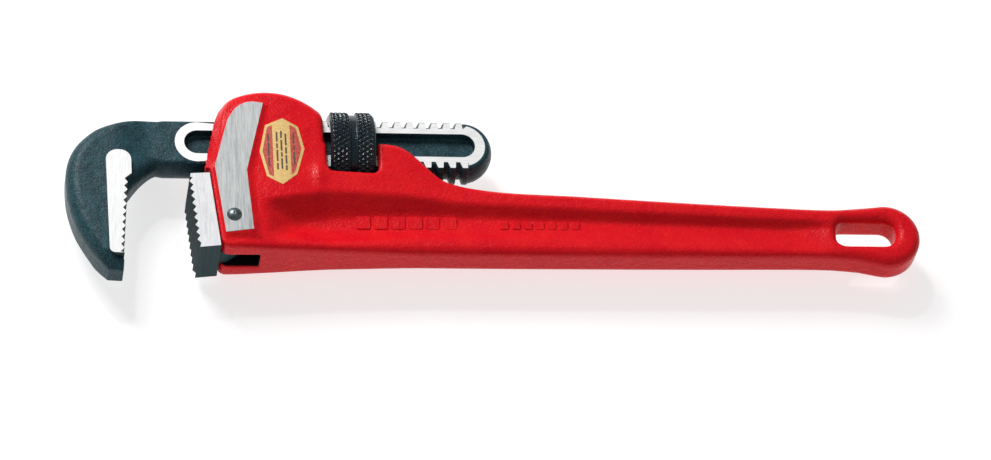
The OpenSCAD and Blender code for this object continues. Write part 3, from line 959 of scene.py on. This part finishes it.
# plain rules in place of print: where each column starts, and the lengths of its dashes
LABEL_RULES = ((-32.5, 1.6, (4.6, 2.2, 5.4, 3.2)), (-30.7, 2.2, (3.4, 5.2, 2, 5)),
               (-28.9, 0.9, (5.6, 3, 4, 2.2)), (-36, 0.5, (3.2, 6.4, 4)), (-25.6, 1.4, (5, 2.4, 6.2)))
RULE_WIDTH = 0.7
RULE_GAP = 0.8


def foil(name, outline, lift, material):
    """Thin printed sheet that follows the side of the housing, with its face that far above it."""
    mesh = bmesh.new()
    ring = [mesh.verts.new((x, y, 0)) for x, y in turned(outline)]
    mesh.faces.new(ring)
    # cut across every millimetre, so that it can bend
    for x in np.arange(-40, -20, 1.0):
        geometry = mesh.verts[:] + mesh.edges[:] + mesh.faces[:]
        bmesh.ops.bisect_plane(mesh, geom=geometry, plane_co=(x, 0, 0), plane_no=(1, 0, 0))
    back = bmesh.ops.duplicate(mesh, geom=mesh.faces[:])["geom"]
    back_faces = [f for f in back if isinstance(f, bmesh.types.BMFace)]
    back_verts = {v for v in back if isinstance(v, bmesh.types.BMVert)}
    bmesh.ops.reverse_faces(mesh, faces=back_faces)
    for v in mesh.verts:
        x, y = np.float32(v.co.x), np.float32(v.co.y)
        z = float(handle_half(x, y)) + (lift - FOIL_T if v in back_verts else lift)
        v.co = (v.co.x, v.co.y, z)
    edges = [e for e in mesh.edges if e.is_boundary]
    bmesh.ops.bridge_loops(mesh, edges=edges)
    bmesh.ops.recalc_face_normals(mesh, faces=mesh.faces[:])
    mesh.verts.index_update()
    points = [tuple(v.co) for v in mesh.verts]
    faces = [[v.index for v in f.verts] for f in mesh.faces]
    mesh.free()
    return finish_piece(make_object(name, points, faces, [material], None, 40), "handle", "label_foil")


def build_label():
    """Gold foil with two red panels and rows of plain rules."""
    gold = printed("foil_gold", (0.62, 0.4, 0.13), (0.8, 0.58, 0.24), 0.3)
    panel = printed("foil_red", (0.4, 0.015, 0.02), (0.62, 0.16, 0.1))
    ink = printed("foil_ink", (0.05, 0.03, 0.03), (0.12, 0.07, 0.05))
    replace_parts(foil("label_foil", label_outline, 0.1, gold), "label")
    for side, outline in panel_outlines.items():
        foil("label_panel_" + side, outline, 0.13, panel)
    rules = Shell()
    for x, y, lengths in LABEL_RULES:
        for length in lengths:
            z = float(handle_half(np.float32(x), np.float32(y)))
            right, bottom = x + RULE_WIDTH, y - length
            dash = [(x, bottom), (right, bottom), (right, y), (x, y)]
            rules.prism(dash, z + 0.08, z + 0.15, 0.02)
            y = bottom - RULE_GAP
    finish_piece(rules.build("label_rules", [ink]), "handle", "label_foil")


# ---- stage --------------------------------------------------------------------------------------
def build_stage():
    """The floor that the wrench lies on."""
    mesh = bpy.data.meshes.new("floor")
    size = 6
    mesh.from_pydata([(-size, -size, 0), (size, -size, 0), (size, size, 0), (-size, size, 0)], [],
                     [(0, 1, 2, 3)])
    mesh.materials.append(floor_paper())
    floor = bpy.data.objects.new("floor", mesh)
    bpy.context.scene.collection.objects.link(floor)


def area_light(name, place, size, power):
    """Square light, pointed at the middle of the wrench."""
    light = bpy.data.lights.new(name, "AREA")
    light.shape = "SQUARE"
    light.size = size
    light.energy = power
    obj = bpy.data.objects.new(name, light)
    bpy.context.scene.collection.objects.link(obj)
    obj.location = place
    obj.rotation_euler = (-Vector(place)).to_track_quat("-Z", "Y").to_euler()


def build_light():
    """Even white surroundings, a soft key from the upper left and a small light for the highlights."""
    world = bpy.data.worlds.new("studio")
    world.use_nodes = True
    background = world.node_tree.nodes["Background"]
    background.inputs["Color"].default_value = (1, 1, 1, 1)
    background.inputs["Strength"].default_value = 0.32
    bpy.context.scene.world = world
    area_light("key", (-0.62, 0.86, 0.93), 0.6, 17.2)
    area_light("glint", (-0.55, 1.0, 1.7), 0.12, 7)


def build_camera():
    """Long lens above the grip, turned so that the handle lies level, as the photograph shows it."""
    azimuth, elevation, roll = (math.radians(a) for a in (-16.388, 59.039, 14.872))
    distance = 1.99064
    aim = ORIGIN + Vector((57.631, -35.92, 0)) * MM
    back = Vector((math.sin(azimuth) * math.cos(elevation), -math.cos(azimuth) * math.cos(elevation),
                   math.sin(elevation)))
    level = Vector((math.cos(azimuth), math.sin(azimuth), 0))
    up = back.cross(level)
    right = level * math.cos(roll) + up * math.sin(roll)
    above = up * math.cos(roll) - level * math.sin(roll)
    data = bpy.data.cameras.new("camera")
    data.sensor_width = 36
    data.lens = 176.64
    data.dof.use_dof = False
    data.clip_start, data.clip_end = 0.01, 20
    camera = bpy.data.objects.new("camera", data)
    bpy.context.scene.collection.objects.link(camera)
    turn = Matrix((right, above, back)).transposed().to_4x4()
    turn.translation = aim + back * distance
    camera.matrix_world = turn
    bpy.context.scene.camera = camera
    bpy.context.scene.view_settings.view_transform = "Standard"


build_handle()
build_hook()
build_nut()
build_heel_jaw()
build_pin()
build_coil_spring()
build_label()
dress_flat_spring()
build_stage()
build_light()
build_camera()
